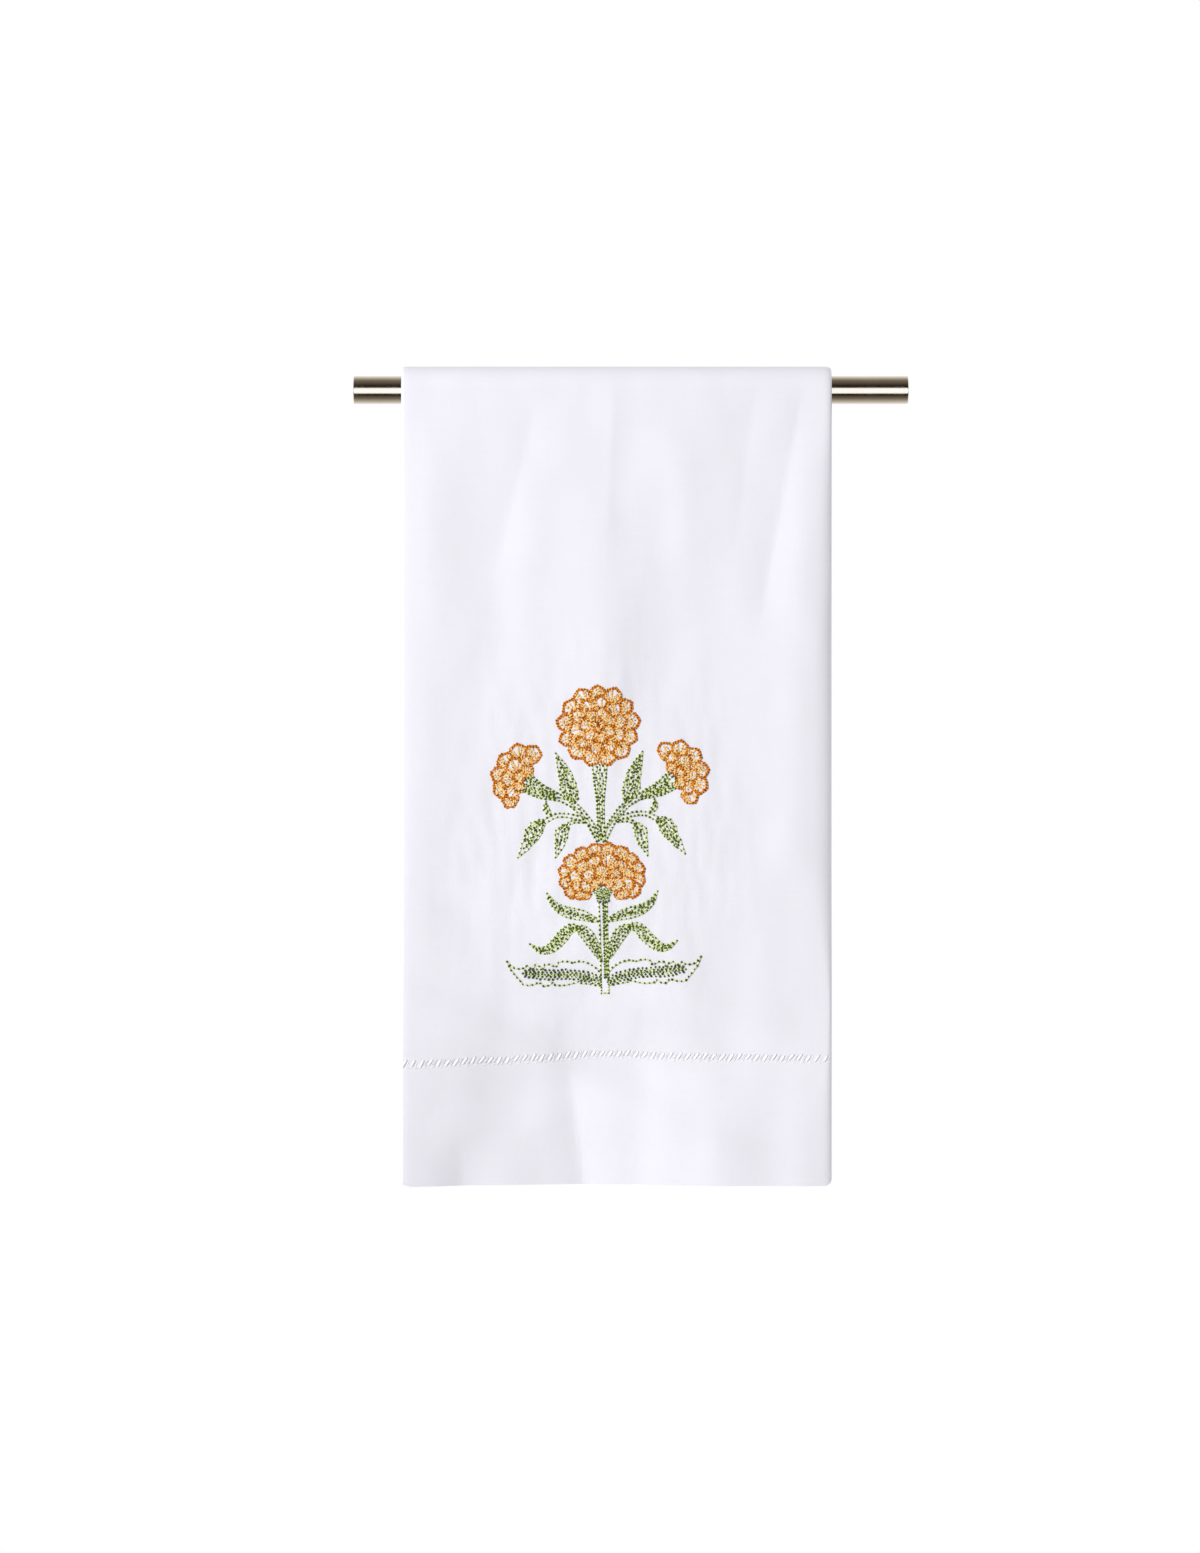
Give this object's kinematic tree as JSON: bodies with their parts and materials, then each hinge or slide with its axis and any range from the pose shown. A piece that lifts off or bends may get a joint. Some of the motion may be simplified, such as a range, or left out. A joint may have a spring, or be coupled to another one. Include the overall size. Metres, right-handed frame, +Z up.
{
  "type": "hand towel on a bar",
  "caption": "White hemstitched hand towel with a stitched spray of orange blooms, folded lengthwise and hung over a plain round metal bar.",
  "frame": {"origin": "centre of the bar's left end face", "axes": "+X along the bar to its right end as seen from the front, -Y towards the viewer, +Z up; the towel hangs along -Z"},
  "size_m": [0.23, 0.0239, 0.3393],
  "materials": {
    "linen": "matte",
    "bar_metal": "polished",
    "orange_thread": "satin",
    "green_thread": "satin",
    "white_thread": "satin"
  },
  "bodies": {
    "root": {"towel": "linen", "bar": "bar_metal"}
  },
  "joints": []
}
